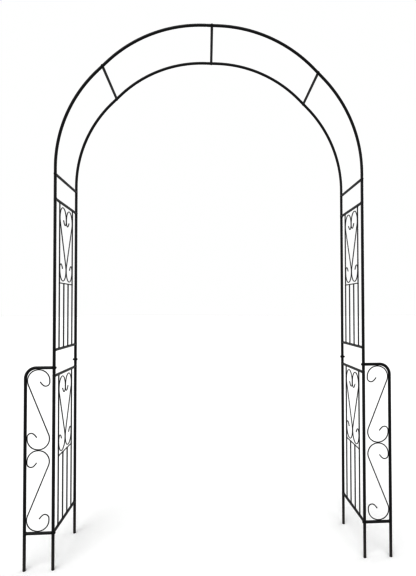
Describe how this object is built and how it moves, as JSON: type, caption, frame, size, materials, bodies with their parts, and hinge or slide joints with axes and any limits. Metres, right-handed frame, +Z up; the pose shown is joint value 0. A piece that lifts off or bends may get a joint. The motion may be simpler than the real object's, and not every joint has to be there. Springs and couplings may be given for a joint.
{
  "type": "metal trellis arch",
  "caption": "Garden arch of coated steel tube with round-topped hoops, scrolled side panels and a scrolled wing beside each front post, for climbing plants.",
  "frame": {"origin": "on the ground, under the middle of the walkway", "axes": "+X across the walkway to the right seen from the front, +Y from front to back, +Z up"},
  "size_m": [1.622, 0.379, 2.404],
  "materials": {
    "tube_coat": "satin powder coat",
    "wire_coat": "satin powder coat on drawn wire",
    "fastener": "black coated steel",
    "foot_plug": "moulded black polyethylene"
  },
  "bodies": {
    "root": {"cross_bar_1": "tube_coat", "cross_bar_2": "tube_coat", "cross_bar_3": "tube_coat", "cross_bar_4": "tube_coat", "cross_bar_5": "tube_coat", "hoop_bolt_back_1": "fastener", "hoop_bolt_back_2": "fastener", "hoop_bolt_back_3": "fastener", "hoop_bolt_back_4": "fastener", "hoop_bolt_back_5": "fastener", "hoop_bolt_front_1": "fastener", "hoop_bolt_front_2": "fastener", "hoop_bolt_front_3": "fastener", "hoop_bolt_front_4": "fastener", "hoop_bolt_front_5": "fastener", "hoop_tube_back_1": "tube_coat", "hoop_tube_back_2": "tube_coat", "hoop_tube_back_3": "tube_coat", "hoop_tube_back_4": "tube_coat", "hoop_tube_front_1": "tube_coat", "hoop_tube_front_2": "tube_coat", "hoop_tube_front_3": "tube_coat", "hoop_tube_front_4": "tube_coat", "lower_panel_left_bars": "wire_coat", "lower_panel_left_bottom_rung": "tube_coat", "lower_panel_left_heart_scrolls": "wire_coat", "lower_panel_left_top_rung": "tube_coat", "lower_panel_right_bars": "wire_coat", "lower_panel_right_bottom_rung": "tube_coat", "lower_panel_right_heart_scrolls": "wire_coat", "lower_panel_right_top_rung": "tube_coat", "lower_post_left_back": "tube_coat", "lower_post_left_front": "tube_coat", "lower_post_right_back": "tube_coat", "lower_post_right_front": "tube_coat", "post_bolt_left": "fastener", "post_bolt_right": "fastener", "post_nut_left": "fastener", "post_nut_right": "fastener", "upper_panel_left_bars": "wire_coat", "upper_panel_left_bottom_rung": "tube_coat", "upper_panel_left_heart_scrolls": "wire_coat", "upper_panel_left_top_rung": "tube_coat", "upper_panel_right_bars": "wire_coat", "upper_panel_right_bottom_rung": "tube_coat", "upper_panel_right_heart_scrolls": "wire_coat", "upper_panel_right_top_rung": "tube_coat", "upper_post_left_back": "tube_coat", "upper_post_left_front": "tube_coat", "upper_post_right_back": "tube_coat", "upper_post_right_front": "tube_coat", "wing_frame_left": "tube_coat", "wing_frame_right": "tube_coat", "wing_rung_bolt_left": "fastener", "wing_rung_bolt_right": "fastener", "wing_scrolls_left": "wire_coat", "wing_scrolls_right": "wire_coat", "wing_top_bolt_left": "fastener", "wing_top_bolt_right": "fastener"}
  },
  "joints": []
}
